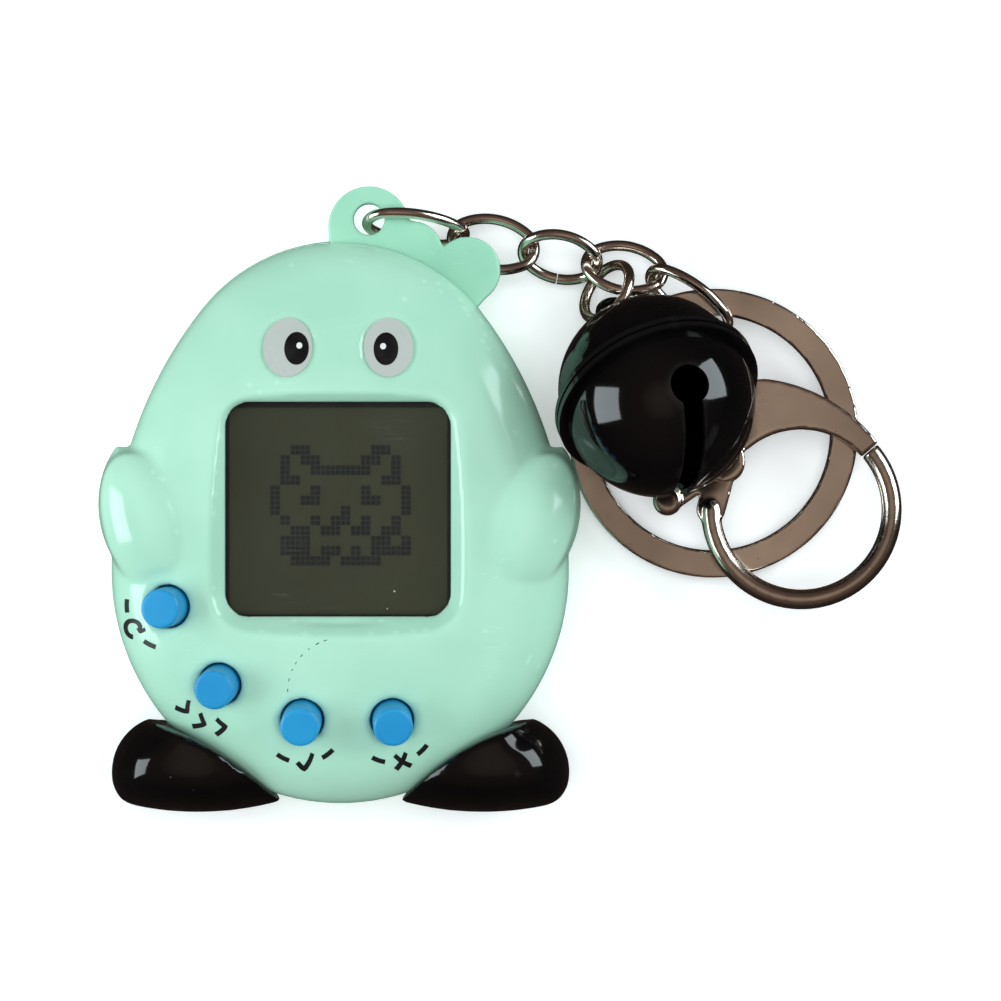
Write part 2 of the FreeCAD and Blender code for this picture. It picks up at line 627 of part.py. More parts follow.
def coil(start, end, z):
    inner = RING_R - RING_BAND
    face = Part.Face(ring_section(start, z))
    return face.revolve(V(0, 0, 0), V(0, 0, 1), end - start)


def make_split_ring():
    high = RING_COIL + RING_COIL_GAP
    ramp, tip = 16.0, 2.0
    lower = coil(ramp + tip, 360.0, 0)
    upper = coil(360.0 + ramp, 720.0 - tip, high)
    steps = 6
    sections = []
    for i in range(steps + 1):
        t = i / steps
        sections.append(ring_section(360.0 + ramp * t, high * t * t * (3 - 2 * t)))
    jog = Part.makeLoft(sections, True, False)
    ring = lower.fuse(jog).fuse(upper).removeSplitter()
    ring = placed(ring, FreeCAD.Placement(V(0, 0, -high / 2 - RING_COIL / 2),
                                          FreeCAD.Rotation(V(0, 0, 1), RING_TURN)))
    tilt = FreeCAD.Placement(RING_CENTRE, FreeCAD.Rotation(V(0.95, 0.3, 0), RING_TILT))
    save("split_ring", placed(ring, tilt))


# ---------------------------------------------------------------- clasp

def clasp_frame():
    x = heading(CLASP_HEADING, CLASP_DIP)
    return frame(CLASP_CENTRE, x, V(-x.y, x.x, 0))


def clasp_outline(z0, z1):
    """Plan of the clasp's body: round the ring's upper side from the seam to the neck."""
    seam, middle, end = radians(-87.0), radians(-32.0), radians(24.0)
    inner, outer = CLASP_R - 1.0, CLASP_R + 1.15
    p_in = V(inner * cos(seam), inner * sin(seam), z0)
    p_out = V(outer * cos(seam), outer * sin(seam), z0)
    inner_mid = V(inner * cos(middle), inner * sin(middle), z0)
    far = V(inner * cos(end), inner * sin(end), z0)
    corners = [V(12.9, -5.4, z0), V(NECK[1], -1.3, z0), V(NECK[1], 1.3, z0),
               V(12.6, 2.6, z0), V(9.9, 5.0, z0), far]
    edges = [Part.LineSegment(p_in, p_out).toShape(),
             Part.Arc(p_out, V(7.9, -8.9, z0), corners[0]).toShape()]
    for p, q in zip(corners, corners[1:]):
        edges.append(Part.LineSegment(p, q).toShape())
    edges.append(Part.Arc(far, inner_mid, p_in).toShape())
    return Part.Face(Part.Wire(edges)).extrude(V(0, 0, z1 - z0))


def make_clasp():
    place = clasp_frame()
    along_x = V(1, 0, 0)
    half = 1.0
    px, py = PIVOT
    body = clasp_outline(-half, half).fuse(disc(px, py, -1.5, 1.5, 2.2))
    body = body.fuse(Part.makeCylinder(NECK_R, NECK[1] - NECK[0], V(NECK[0], 0, 0), along_x))
    slot = 0.68
    cheek = disc(px, py, -slot, slot, 2.75)
    cheek = cheek.fuse(box(px - 5.0, px + 2.2, py, py + 6, -slot, slot))
    body = body.cut(cheek)
    body = body.cut(disc(px, py, -3, 3, 0.62))
    body = body.cut(Part.makeCylinder(0.86, 8, V(NECK[0] - 0.4, 0, 0), along_x))
    body = body.cut(Part.makeCylinder(1.22, 1.7, V(NECK[0] - 0.3, 0, 0), along_x))
    save("clasp_body", placed(body, place))

    start, end = 52.0, 272.4
    arc = Part.makeTorus(CLASP_R, CLASP_WIRE_R, V(0, 0, 0), V(0, 0, 1), 0, 360, end - start)
    arc.rotate(V(0, 0, 0), V(0, 0, 1), start)
    a = radians(start)
    root = V(CLASP_R * cos(a), CLASP_R * sin(a), 0)
    web_t = 0.58
    gate = arc.fuse(Part.makeSphere(CLASP_WIRE_R, root))
    gate = gate.fuse(disc(px, py, -web_t, web_t, 2.05))
    gate = gate.fuse(thick_line((px, py), (root.x, root.y), 1.5, web_t))
    gate = gate.fuse(thick_line((px, py), KNOB, 1.3, web_t))
    knob = disc(KNOB[0], KNOB[1], -1.2, 1.2, 1.5)
    knob = knob.makeFillet(0.5, [e for e in knob.Edges if e.Curve.TypeId == "Part::GeomCircle"])
    gate = gate.fuse(knob).cut(disc(px, py, -3, 3, 0.66)).removeSplitter()
    save("clasp_gate", placed(gate, place))
    pin = disc(px, py, -1.62, 1.62, 0.6)
    pin = pin.fuse(disc(px, py, 1.5, 1.7, 0.95)).fuse(disc(px, py, -1.7, -1.5, 0.95))
    save("clasp_pin", placed(pin, place))

    roll = radians(SWIVEL_ROLL)
    eye = oval_link(EYE_LENGTH, EYE_WIDTH, wire=EYE_WIRE)
    eye = placed(eye, frame(V(EYE_ALONG, 0, 0), along_x, V(0, sin(roll), cos(roll))))
    reach = EYE_ALONG - (EYE_LENGTH - EYE_WIRE) / 2 - NECK[0]
    swivel = eye.fuse(Part.makeCylinder(0.78, reach, V(NECK[0], 0, 0), along_x))
    swivel = swivel.fuse(Part.makeCylinder(1.12, 0.9, V(NECK[0], 0, 0), along_x))
    swivel = swivel.fuse(Part.makeCylinder(1.0, 0.8, V(NECK[1] + 0.15, 0, 0), along_x))
    save("clasp_swivel", placed(swivel.removeSplitter(), place))


def thick_line(p, q, half_width, half_thick):
    """A flat bar with round ends between two points of the clasp's plane."""
    d = V(q[0] - p[0], q[1] - p[1], 0)
    bar = Part.makeBox(d.Length, 2 * half_width, 2 * half_thick,
                       V(0, -half_width, -half_thick))
    bar = placed(bar, frame(V(p[0], p[1], 0), d, V(-d.y, d.x, 0)))
    ends = [disc(x, y, -half_thick, half_thick, half_width) for x, y in (p, q)]
    return bar.fuse(ends[0]).fuse(ends[1])


def main():
    os.makedirs("parts", exist_ok=True)
    make_case()
    make_face()
    make_inside()
    make_buttons()
    make_chain()
    make_bell()
    make_jump_ring()
    make_split_ring()
    make_clasp()


main()
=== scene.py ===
"""Looks of a virtual pet keychain: mint egg-shaped toy, steel chain, black bell, split ring and clasp.

The toy lies on its back on a pale table, under the camera. Lengths are in metres
unless a name ends in _MM or a comment says millimetres.
"""

import json
import math

import bmesh
import bpy
import numpy as np
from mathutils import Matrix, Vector
from mathutils.bvhtree import BVHTree

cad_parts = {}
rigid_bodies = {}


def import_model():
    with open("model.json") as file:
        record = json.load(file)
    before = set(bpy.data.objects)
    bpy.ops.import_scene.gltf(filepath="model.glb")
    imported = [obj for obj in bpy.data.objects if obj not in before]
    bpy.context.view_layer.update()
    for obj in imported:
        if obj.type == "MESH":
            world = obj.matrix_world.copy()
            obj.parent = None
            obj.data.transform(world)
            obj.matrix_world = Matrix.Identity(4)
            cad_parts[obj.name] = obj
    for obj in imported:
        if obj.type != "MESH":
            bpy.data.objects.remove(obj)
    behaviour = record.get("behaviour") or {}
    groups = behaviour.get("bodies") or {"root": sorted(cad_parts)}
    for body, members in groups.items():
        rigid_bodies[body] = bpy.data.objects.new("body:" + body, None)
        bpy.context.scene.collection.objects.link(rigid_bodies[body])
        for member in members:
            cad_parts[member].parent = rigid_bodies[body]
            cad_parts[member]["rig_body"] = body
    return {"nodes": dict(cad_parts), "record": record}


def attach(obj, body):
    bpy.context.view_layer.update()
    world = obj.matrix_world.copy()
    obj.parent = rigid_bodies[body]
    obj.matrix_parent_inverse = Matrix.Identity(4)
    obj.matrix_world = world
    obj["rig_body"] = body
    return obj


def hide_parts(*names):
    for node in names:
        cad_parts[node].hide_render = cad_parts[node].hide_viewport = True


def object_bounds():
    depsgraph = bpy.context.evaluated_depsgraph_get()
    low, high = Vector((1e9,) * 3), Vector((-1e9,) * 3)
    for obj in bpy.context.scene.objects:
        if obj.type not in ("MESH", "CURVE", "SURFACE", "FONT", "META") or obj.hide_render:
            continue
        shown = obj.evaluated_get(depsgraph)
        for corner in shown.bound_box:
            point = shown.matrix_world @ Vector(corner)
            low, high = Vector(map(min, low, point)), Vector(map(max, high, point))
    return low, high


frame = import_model()
cad_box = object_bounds()

MM = 0.001

# Camera, straight above the toy as it lies on its back.
CAMERA_PLACE = (0.0164, 0.00221, 0.400)
CAMERA_LENS = 137.76
SENSOR = 36.0

# Places on the front of the toy, from the CAD model, in millimetres.
WING_MIDDLE_MM = (18.9, -0.3, 10.9)
WING_HALF_MM = (8.4, 5.2, 4.7)
WING_LEAN = (0.42, 0.9)
WING_EGG = 0.14
WING_FLOOR_MM = (8.0, 10.5)
SHELL_MIDDLE_MM = (0.0, 0.0, 5.0)
WING_INNER_MM = 12.6
WING_LOW_MM = -12.0
WING_HIGH_MM = 10.0
SCREEN_MIDDLE_MM = 1.3
FOOT_CORNERS_MM = ((19.8, -20.2), (22.6, -28.7), (6.1, -28.6))
FOOT_OUTER_MM = (23.4, -24.6)
FOOT_SOLE_MM = (14.6, -29.7)
FOOT_MIDDLE_MM = 6.6
FOOT_ROUND_MM = 4.2
RESET_MM = (-17.2, -8.5)
SELECT_MM = (-12.0, -16.4)
DECIDE_MM = (-3.6, -20.0)
CANCEL_MM = (5.5, -20.0)
LCD_TOP_MM = 12.1
LCD_CELL_MM = 1.02
LCD_LEFT_MM = -6.9
LCD_UP_MM = 7.8
LABEL_RADIUS_MM = 4.25
LABEL_STROKE_MM = 0.42
LABEL_SCALE = 1.15
PRINT_LIFT_MM = 0.02
# The black frame of painted shadow on the display: inner edges (left, right, low, high), then outer half
# width and half height.
SHADOW_INNER_MM = (-11.05, 11.0, -9.3, 11.6)
SHADOW_OUTER_MM = (12.0, 11.5)
SCUFF_MM = ((-5.0, -17.1), (-3.6, -13.4), (0.2, -11.6))

# The creature on the screen, one letter a cell, each cell four dots.
PET_ROWS = (
    "..XX......XX..",
    ".X.XX....XX.X.",
    ".X..XXXXXX..X.",
    ".XX........XX.",
    "X...X....X...X",
    "X..XX....XX..X",
    "X......X.....X",
    ".X..X.XX.X..X.",
    "..XX.XX.XX.XX.",
    ".XXX......XX.X",
    ".XXX.XX.X.XXXX",
    "..XXXX.XXXX...",
)


# ---------------------------------------------------------------- materials


class Graph:
    """A material's node tree, with short calls for the nodes that this scene uses."""

    def __init__(self, name):
        self.material = bpy.data.materials.new(name)
        self.material.use_nodes = True
        self.tree = self.material.node_tree
        self.shader = self.tree.nodes["Principled BSDF"]
        self.place = self.tree.nodes.new("ShaderNodeTexCoord").outputs["Object"]

    def link(self, source, target):
        self.tree.links.new(source, target)

    def set(self, **values):
        for key, value in values.items():
            self.shader.inputs[key.replace("_", " ")].default_value = value

    def drive(self, key, source):
        self.link(source, self.shader.inputs[key])

    def stretched(self, scale, turn):
        node = self.tree.nodes.new("ShaderNodeMapping")
        node.inputs["Scale"].default_value = scale
        node.inputs["Rotation"].default_value = turn
        self.link(self.place, node.inputs["Vector"])
        return node.outputs["Vector"]

    def noise(self, scale, detail=2.0, place=None, distortion=0.0):
        node = self.tree.nodes.new("ShaderNodeTexNoise")
        node.inputs["Scale"].default_value = scale
        node.inputs["Detail"].default_value = detail
        node.inputs["Distortion"].default_value = distortion
        self.link(place or self.place, node.inputs["Vector"])
        return node.outputs["Fac"]

    def cells(self, scale):
        node = self.tree.nodes.new("ShaderNodeTexVoronoi")
        node.inputs["Scale"].default_value = scale
        self.link(self.place, node.inputs["Vector"])
        return node.outputs["Distance"], node.outputs["Color"]

    def span(self, value, low, high, bottom=0.0, top=1.0):
        """value from low to high, as bottom to top, and no further."""
        node = self.tree.nodes.new("ShaderNodeMapRange")
        node.inputs["From Min"].default_value = low
        node.inputs["From Max"].default_value = high
        node.inputs["To Min"].default_value = bottom
        node.inputs["To Max"].default_value = top
        self.link(value, node.inputs["Value"])
        return node.outputs["Result"]

    def math(self, operation, first, second):
        node = self.tree.nodes.new("ShaderNodeMath")
        node.operation = operation
        for socket, value in zip(node.inputs, (first, second)):
            if isinstance(value, (int, float)):
                socket.default_value = value
            else:
                self.link(value, socket)
        return node.outputs["Value"]

    def mix(self, share, first, second):
        """first where share is 0 and second where it is 1, each a colour or a node's output."""
        node = self.tree.nodes.new("ShaderNodeMix")
        node.data_type = "RGBA"
        self.link(share, node.inputs[0])
        for socket, value in ((node.inputs[6], first), (node.inputs[7], second)):
            if isinstance(value, tuple):
                socket.default_value = (*value, 1.0)
            else:
                self.link(value, socket)
        return node.outputs[2]

    def edges(self, low, high):
        """1 on sharp outward edges and 0 elsewhere."""
        node = self.tree.nodes.new("ShaderNodeNewGeometry")
        return self.span(node.outputs["Pointiness"], low, high)

    def specks(self, scale, size, rarity):
        """1 on a few small round specks."""
        distance, colour = self.cells(scale)
        dot = self.span(distance, size * 0.6, size, 1.0, 0.0)
        split = self.tree.nodes.new("ShaderNodeSeparateColor")
        self.link(colour, split.inputs["Color"])
        return self.math("MULTIPLY", dot, self.span(split.outputs["Red"], rarity, rarity + 0.01))

    def hairlines(self, scale, stretch, turn, width):
        """1 along thin scratches, broken up in patches."""
        place = self.stretched(stretch, turn)
        wave = self.noise(scale, 1.0, place, 0.4)
        offset = self.math("ABSOLUTE", self.math("SUBTRACT", wave, 0.5), 0.0)
        line = self.span(offset, width * 0.4, width, 1.0, 0.0)
        patch = self.span(self.noise(scale * 0.7, 1.0), 0.58, 0.62)
        return self.math("MULTIPLY", line, patch)

    def bump(self, height, depth):
        node = self.tree.nodes.new("ShaderNodeBump")
        node.inputs["Distance"].default_value = depth
        self.link(height, node.inputs["Height"])
        self.drive("Normal", node.outputs["Normal"])


def rgb(red, green, blue):
    """A colour as seen on a screen, 0 to 255, as linear light."""
    shares = (red / 255, green / 255, blue / 255)
    return tuple(c / 12.92 if c < 0.04045 else ((c + 0.055) / 1.055) ** 2.4 for c in shares)


def moulded(name, colour, shade, roughness, speck, coat=0.0, under_skin=0.0, texture=6e-6):
    """A moulded plastic with mottling, dust specks, hairline scratches and rubbed edges."""
    g = Graph(name)
    mottle = g.span(g.noise(110.0, 3.0), 0.35, 0.68)
    base = g.mix(mottle, colour, shade)
    rubbed = g.edges(0.53, 0.6)
    base = g.mix(g.math("MULTIPLY", rubbed, 0.35), base, tuple(min(1.0, c * 1.15 + 0.02) for c in colour))
    dust = g.specks(420.0, 0.05, 0.86)
    base = g.mix(g.math("MULTIPLY", dust, 0.75), base, speck)
    g.drive("Base Color", base)
    scratch = g.hairlines(160.0, (1.0, 7.0, 2.0), (0.2, 0.1, 0.7), 0.012)
    film = g.span(g.noise(260.0, 4.0), 0.3, 0.75, roughness * 0.8, roughness * 1.35)
    g.drive("Roughness", g.math("ADD", film, g.math("MULTIPLY", scratch, 0.08)))
    g.set(IOR=1.5, Coat_Weight=coat, Coat_Roughness=0.04)
    if under_skin:
        g.set(Subsurface_Weight=under_skin, Subsurface_Radius=(0.9, 1.0, 0.95), Subsurface_Scale=0.0012)
    orange_peel = g.noise(700.0, 2.0)
    height = g.math("SUBTRACT", orange_peel, g.math("MULTIPLY", scratch, 0.25))
    g.bump(height, texture)
    return g.material


def glossy_mint():
    """The egg's glossy mint plastic, a little dusty, rubbed pale on its edges and darkened by painted
    shade in its creases.
    """
    g = Graph("mint_plastic")
    light = rgb(182, 230, 206)
    deep = rgb(170, 220, 195)
    base = g.mix(g.span(g.noise(70.0, 3.0), 0.35, 0.7), light, deep)
    base = g.mix(g.math("MULTIPLY", g.edges(0.53, 0.62), 0.3), base, rgb(205, 248, 226))
    # Painted shade: darker mint in the hollows and creases.
    base = g.mix(g.math("MULTIPLY", g.edges(0.47, 0.42), 0.35), base, rgb(110, 180, 150))
    dust = g.specks(330.0, 0.045, 0.88)
    base = g.mix(g.math("MULTIPLY", dust, 0.7), base, rgb(70, 90, 80))
    g.drive("Base Color", base)
    scratch = g.hairlines(170.0, (1.0, 9.0, 2.0), (0.2, 0.1, 0.5), 0.012)
    film = g.span(g.noise(210.0, 4.0), 0.3, 0.75, 0.13, 0.24)
    g.drive("Roughness", g.math("ADD", film, g.math("MULTIPLY", scratch, 0.1)))
    g.set(IOR=1.49, Coat_Weight=0.25, Coat_Roughness=0.05)
    g.set(Subsurface_Weight=0.12, Subsurface_Radius=(0.8, 1.0, 0.9), Subsurface_Scale=0.0012)
    height = g.math("SUBTRACT", g.noise(520.0, 2.0), g.math("MULTIPLY", scratch, 0.35))
    g.bump(height, 5e-6)
    return g.material


def plated(name, colour, worn, roughness, grain, texture=4e-6):
    """A plated or bare metal with a cloudy film, hairlines and worn edges."""
    g = Graph(name)
    base = g.mix(g.span(g.noise(55.0, 4.0), 0.36, 0.64), colour, tuple(c * 0.62 for c in colour))
    base = g.mix(g.math("MULTIPLY", g.edges(0.55, 0.66), 0.5), base, worn)
    pits = g.specks(900.0, 0.12, 0.8)
    base = g.mix(g.math("MULTIPLY", pits, 0.45), base, tuple(c * 0.35 for c in colour))
    g.drive("Base Color", base)
    scratch = g.hairlines(grain, (1.0, 6.0, 3.0), (0.5, 0.3, 0.9), 0.02)
    film = g.span(g.noise(330.0, 4.0), 0.3, 0.75, roughness * 0.7, roughness * 1.5)
    g.drive("Roughness", g.math("ADD", film, g.math("MULTIPLY", scratch, 0.06)))
    g.set(Metallic=1.0)
    height = g.math("SUBTRACT", g.noise(900.0, 3.0), g.math("MULTIPLY", scratch, 0.2))
    g.bump(height, texture)
    return g.material


def display_glass():
    """The dark olive display under the window, with its faint unlit dots."""
    g = Graph("display_glass")
    cloud = g.span(g.noise(45.0, 2.0), 0.3, 0.7)
    base = g.mix(cloud, rgb(46, 48, 33), rgb(53, 55, 38))
    wave = g.tree.nodes.new("ShaderNodeTexChecker")
    wave.inputs["Scale"].default_value = 1000.0 / (LCD_CELL_MM * 0.5)
    g.link(g.place, wave.inputs["Vector"])
    base = g.mix(g.math("MULTIPLY", wave.outputs["Fac"], 0.05), base, rgb(40, 44, 40))
    dust = g.specks(330.0, 0.04, 0.8)
    base = g.mix(g.math("MULTIPLY", dust, 0.8), base, rgb(205, 205, 190))
    g.drive("Base Color", base)
    g.drive("Roughness", g.span(g.noise(240.0, 3.0), 0.3, 0.7, 0.3, 0.5))
    g.bump(g.noise(1400.0, 2.0), 2e-6)
    return g.material


def clear_window():
    """The clear plastic over the display, with dust and fine scratches."""
    g = Graph("clear_window")
    dust = g.specks(380.0, 0.035, 0.82)
    g.drive("Base Color", g.mix(dust, rgb(120, 122, 110), rgb(228, 226, 210)))
    scratch = g.hairlines(190.0, (1.0, 12.0, 1.0), (0.0, 0.0, 0.4), 0.008)
    film = g.span(g.noise(120.0, 3.0), 0.35, 0.75, 0.005, 0.02)
    marks = g.math("MAXIMUM", g.math("MULTIPLY", dust, 0.8), g.math("MULTIPLY", scratch, 0.2))
    g.drive("Alpha", g.math("MAXIMUM", film, marks))
    g.drive("Roughness", g.span(g.noise(300.0, 3.0), 0.35, 0.75, 0.05, 0.15))
    g.set(IOR=1.46)
    g.bump(g.math("SUBTRACT", g.noise(260.0, 1.0), scratch), 1.5e-6)
    return g.material


def circuit():
    """Green solder mask with paler tracks showing through it."""
    g = Graph("circuit_board")
    tracks = g.tree.nodes.new("ShaderNodeTexBrick")
    tracks.inputs["Scale"].default_value = 260.0
    tracks.inputs["Mortar Size"].default_value = 0.06
    g.link(g.place, tracks.inputs["Vector"])
    base = g.mix(tracks.outputs["Fac"], rgb(18, 84, 48), rgb(60, 128, 70))
    base = g.mix(g.span(g.noise(300.0, 3.0), 0.4, 0.7, 0.0, 0.4), base, rgb(10, 60, 36))
    g.drive("Base Color", base)
    g.drive("Roughness", g.span(g.noise(500.0, 3.0), 0.3, 0.7, 0.25, 0.45))
    g.bump(tracks.outputs["Fac"], 3e-5)
    return g.material


def ink(name, colour):
    """Printed ink, a display's dark segment or a black sheet of painted shadow, worn thin in places."""
    g = Graph(name)
    worn = g.span(g.noise(900.0, 3.0), 0.55, 0.75, 0.0, 0.35)
    g.drive("Base Color", g.mix(worn, colour, tuple(min(1.0, c * 2.0 + 0.01) for c in colour)))
    g.drive("Roughness", g.span(g.noise(700.0, 2.0), 0.3, 0.7, 0.35, 0.55))
    g.bump(g.noise(2500.0, 2.0), 2e-6)
    return g.material


def table_top():
    """A plain pale table."""
    g = Graph("table_top")
    g.drive("Base Color", g.mix(g.noise(12.0, 2.0), (0.93, 0.93, 0.93), (0.96, 0.96, 0.96)))
    g.set(Roughness=0.7, Emission_Color=(1.0, 1.0, 1.0, 1.0), Emission_Strength=0.3)
    return g.material


MATERIALS = {
    "mint_shell": glossy_mint(),
    "mint_comb": moulded(
        "mint_comb_plastic", rgb(166, 220, 193), rgb(152, 210, 182), 0.2, rgb(80, 100, 90), 0.0, 0.35
    ),
    "black_plastic": moulded(
        "black_glossy_plastic", rgb(6, 5, 6), rgb(11, 10, 10), 0.1, rgb(95, 93, 90)
    ),
    "blue_plastic": moulded(
        "blue_button_plastic", rgb(36, 154, 208), rgb(28, 142, 200),
        0.42, rgb(120, 190, 225), 0.0, 0.1, 9e-6,
    ),
    "eye_print": moulded(
        "eye_white_plastic", rgb(182, 188, 182), rgb(172, 178, 172), 0.3, rgb(120, 122, 118)
    ),
    "window": clear_window(),
    "lcd": display_glass(),
    "strip": moulded("contact_strip_rubber", rgb(214, 205, 196), rgb(190, 182, 176), 0.6, rgb(90, 90, 90)),
    "board": circuit(),
    "epoxy": moulded("chip_cover_epoxy", rgb(14, 14, 15), rgb(22, 22, 23), 0.35, rgb(70, 70, 70)),
    "buzzer": plated("buzzer_brass", (0.78, 0.58, 0.27), (0.9, 0.74, 0.42), 0.3, 200.0),
    "cell": plated("cell_steel", (0.66, 0.65, 0.63), (0.8, 0.79, 0.77), 0.24, 260.0),
    "contact": plated("contact_nickel", (0.6, 0.58, 0.54), (0.78, 0.75, 0.7), 0.32, 260.0),
    "screw": plated("screw_zinc", (0.56, 0.56, 0.57), (0.75, 0.75, 0.76), 0.33, 320.0),
    "silicone": moulded(
        "button_pad_silicone", rgb(214, 214, 208), rgb(196, 196, 190), 0.5, rgb(120, 120, 116)
    ),
    "nickel": plated("nickel_plated_steel", (0.93, 0.84, 0.75), (0.98, 0.93, 0.86), 0.16, 210.0),
    "bell_black": moulded(
        "bell_black_paint", rgb(4, 4, 5), rgb(8, 7, 8), 0.07, rgb(100, 97, 92), 0.0, 0.0, 3e-6
    ),
    "pellet_steel": plated("pellet_steel", (0.6, 0.58, 0.56), (0.75, 0.73, 0.7), 0.22, 300.0),
}

# Black of the printed signs and scuffs, and of the frame of painted shadow on the display.
INK_AND_SHADOW_BLACK = ink("printed_and_shadow_black", rgb(22, 22, 24))
PUPIL_BLACK = ink("pupil_black", rgb(10, 10, 12))
GLINT_WHITE = ink("glint_white", rgb(226, 228, 226))
SEGMENT_DARK = ink("display_segment", rgb(22, 25, 27))


def node_slots():
    """The material slot of each CAD node, as the record has it."""
    return {part["node"]: part["material_slot"] for part in frame["record"]["subparts"]}


# ---------------------------------------------------------------- meshes


def new_piece(name, points, faces, material, body):
    """A mesh object from points in metres, riding on a CAD body."""
    mesh = bpy.data.meshes.new(name)
    mesh.from_pydata([tuple(p) for p in points], [], faces)
    mesh.update()
    mesh.materials.append(material)
    piece = bpy.data.objects.new(name, mesh)
    bpy.context.scene.collection.objects.link(piece)
    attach(piece, body)
    return piece


def smoothed(points, edges, weights, rounds, keep_size):
    """Moves each point towards its neighbours by its weight, a number of rounds."""
    first = edges[:, 0]
    second = edges[:, 1]
    count = len(points)
    neighbours = np.bincount(first, minlength=count) + np.bincount(second, minlength=count)
    neighbours = np.maximum(neighbours, 1)[:, None]
    for turn in range(rounds):
        total = np.empty_like(points)
        for axis in range(3):
            total[:, axis] = np.bincount(first, points[second, axis], count)
            total[:, axis] += np.bincount(second, points[first, axis], count)
        step = -0.52 if keep_size and turn % 2 else 0.5
        points = points + weights[:, None] * step * (total / neighbours - points)
    return points


def evened(rough, voxel_mm):
    """The same solid with an even net of small faces, in millimetres."""
    helper = bpy.data.objects.new("even_helper", rough)
    bpy.context.scene.collection.objects.link(helper)
    remesh = helper.modifiers.new("even", "REMESH")
    remesh.mode = "VOXEL"
    remesh.voxel_size = voxel_mm
    bpy.context.view_layer.update()
    graph = bpy.context.evaluated_depsgraph_get()
    mesh = bpy.data.meshes.new_from_object(helper.evaluated_get(graph))
    bpy.data.objects.remove(helper)
    return mesh


def points_of(mesh):
    """A mesh's points, a row each."""
    points = np.empty(len(mesh.vertices) * 3)
    mesh.vertices.foreach_get("co", points)
    return points.reshape(-1, 3)


def softened(node, name, voxel_mm, rounds, blends=(), shape=None):
    """A copy of a CAD node with soft edges, that stands for it.

    Each of blends is a pair of a weight for each point, from the points in millimetres, and rounds.
    shape, where it is given, gives the mesh's points new places first.
    """
    source = frame["nodes"][node]
    work = bmesh.new()
    work.from_mesh(source.data)
    bmesh.ops.scale(work, vec=(1 / MM,) * 3, verts=work.verts)
    bmesh.ops.remove_doubles(work, verts=work.verts, dist=0.0005)
    rough = bpy.data.meshes.new(name + "_rough")
    work.to_mesh(rough)
    work.free()
    mesh = evened(rough, voxel_mm)
    if shape:
        mesh.vertices.foreach_set("co", shape(mesh).ravel())
        mesh = evened(mesh, voxel_mm)
    points = points_of(mesh)
    edges = np.empty(len(mesh.edges) * 2, dtype=np.int64)
    mesh.edges.foreach_get("vertices", edges)
    edges = edges.reshape(-1, 2)
    points = smoothed(points, edges, np.ones(len(points)), rounds, True)
    for weigh, blend_rounds in blends:
        points = smoothed(points, edges, weigh(points), blend_rounds, False)
    mesh.vertices.foreach_set("co", (points * MM).ravel())
    mesh.update()
    mesh.name = name
    mesh.materials.clear()
    mesh.materials.append(MATERIALS[SLOT_OF[node]])
    mesh.polygons.foreach_set("use_smooth", np.ones(len(mesh.polygons), dtype=bool))
    piece = bpy.data.objects.new(name, mesh)
    bpy.context.scene.collection.objects.link(piece)
    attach(piece, source["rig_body"])
    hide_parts(node)
    return piece


def ramp(values, low, high):
    """0 below low, 1 above high and a smooth rise between."""
    t = np.clip((values - low) / (high - low), 0.0, 1.0)
    return t * t * (3 - 2 * t)


def arc_through(first, middle, last, count=40):
    """Points along the arc through three points in the plane."""
    (ax, ay), (bx, by), (cx, cy) = first, middle, last
    span = 2 * (ax * (by - cy) + bx * (cy - ay) + cx * (ay - by))
    a2, b2, c2 = ax * ax + ay * ay, bx * bx + by * by, cx * cx + cy * cy
    x = (a2 * (by - cy) + b2 * (cy - ay) + c2 * (ay - by)) / span
    y = (a2 * (cx - bx) + b2 * (ax - cx) + c2 * (bx - ax)) / span
    start = math.atan2(ay - y, ax - x)
    turn = math.atan2(cy - y, cx - x) - start
    turn = (turn + math.pi) % (2 * math.pi) - math.pi
    radius = math.hypot(ax - x, ay - y)
    steps = start + turn * np.linspace(0, 1, count)
    return np.column_stack((x + radius * np.cos(steps), y + radius * np.sin(steps)))


def pillowed(mesh):
    """Rounds a foot like a bean, from its outer sides in, and leaves the side by the egg."""
    points = points_of(mesh)
    side = np.sign(points[:, 0].mean())
    top, heel, toe = FOOT_CORNERS_MM
    outer = arc_through(top, FOOT_OUTER_MM, heel)
    sole = arc_through(heel, FOOT_SOLE_MM, toe)
    rim = np.vstack((outer, sole)) * (side, 1)
    away = np.min(np.hypot(points[:, None, 0] - rim[:, 0], points[:, None, 1] - rim[:, 1]), axis=1)
    height = points[:, 2] - FOOT_MIDDLE_MM
    width = np.where(height > 0, FOOT_ROUND_MM, FOOT_ROUND_MM * 0.8)
    share = np.sqrt(1 - (1 - np.clip(away / width, 0.0, 1.0)) ** 2)
    points[:, 2] = FOOT_MIDDLE_MM + height * share
    return points


def winged(mesh):
    """Raises an egg-shaped folded wing on each side of the face, fuller at its low end."""
    points = points_of(mesh)
    normals = np.empty(len(mesh.vertices) * 3)
    mesh.vertices.foreach_get("normal", normals)
    outside = np.sum(normals.reshape(-1, 3) * (points - SHELL_MIDDLE_MM), axis=1) > 0
    middle_x, middle_y, middle_z = WING_MIDDLE_MM
    half_long, half_wide, half_high = WING_HALF_MM
    out, upward = WING_LEAN
    button = np.hypot(points[:, 0] - RESET_MM[0], points[:, 1] - RESET_MM[1])
    share = ramp(button, 2.7, 4.2)
    for side in (-1, 1):
        across = points[:, 0] - side * middle_x
        up = points[:, 1] - middle_y
        along = (across * side * out + up * upward) / half_long
        beside = (across * upward - up * side * out) / half_wide / (1 - WING_EGG * along)
        room = 1 - along**2 - beside**2
        top = middle_z + half_high * np.sqrt(np.clip(room, 0.0, 1.0))
        rise = np.clip(top - points[:, 2], 0.0, None) * share * outside
        points[:, 2] += rise * ramp(room, 0.0, 0.2) * ramp(points[:, 2], *WING_FLOOR_MM)
    return points


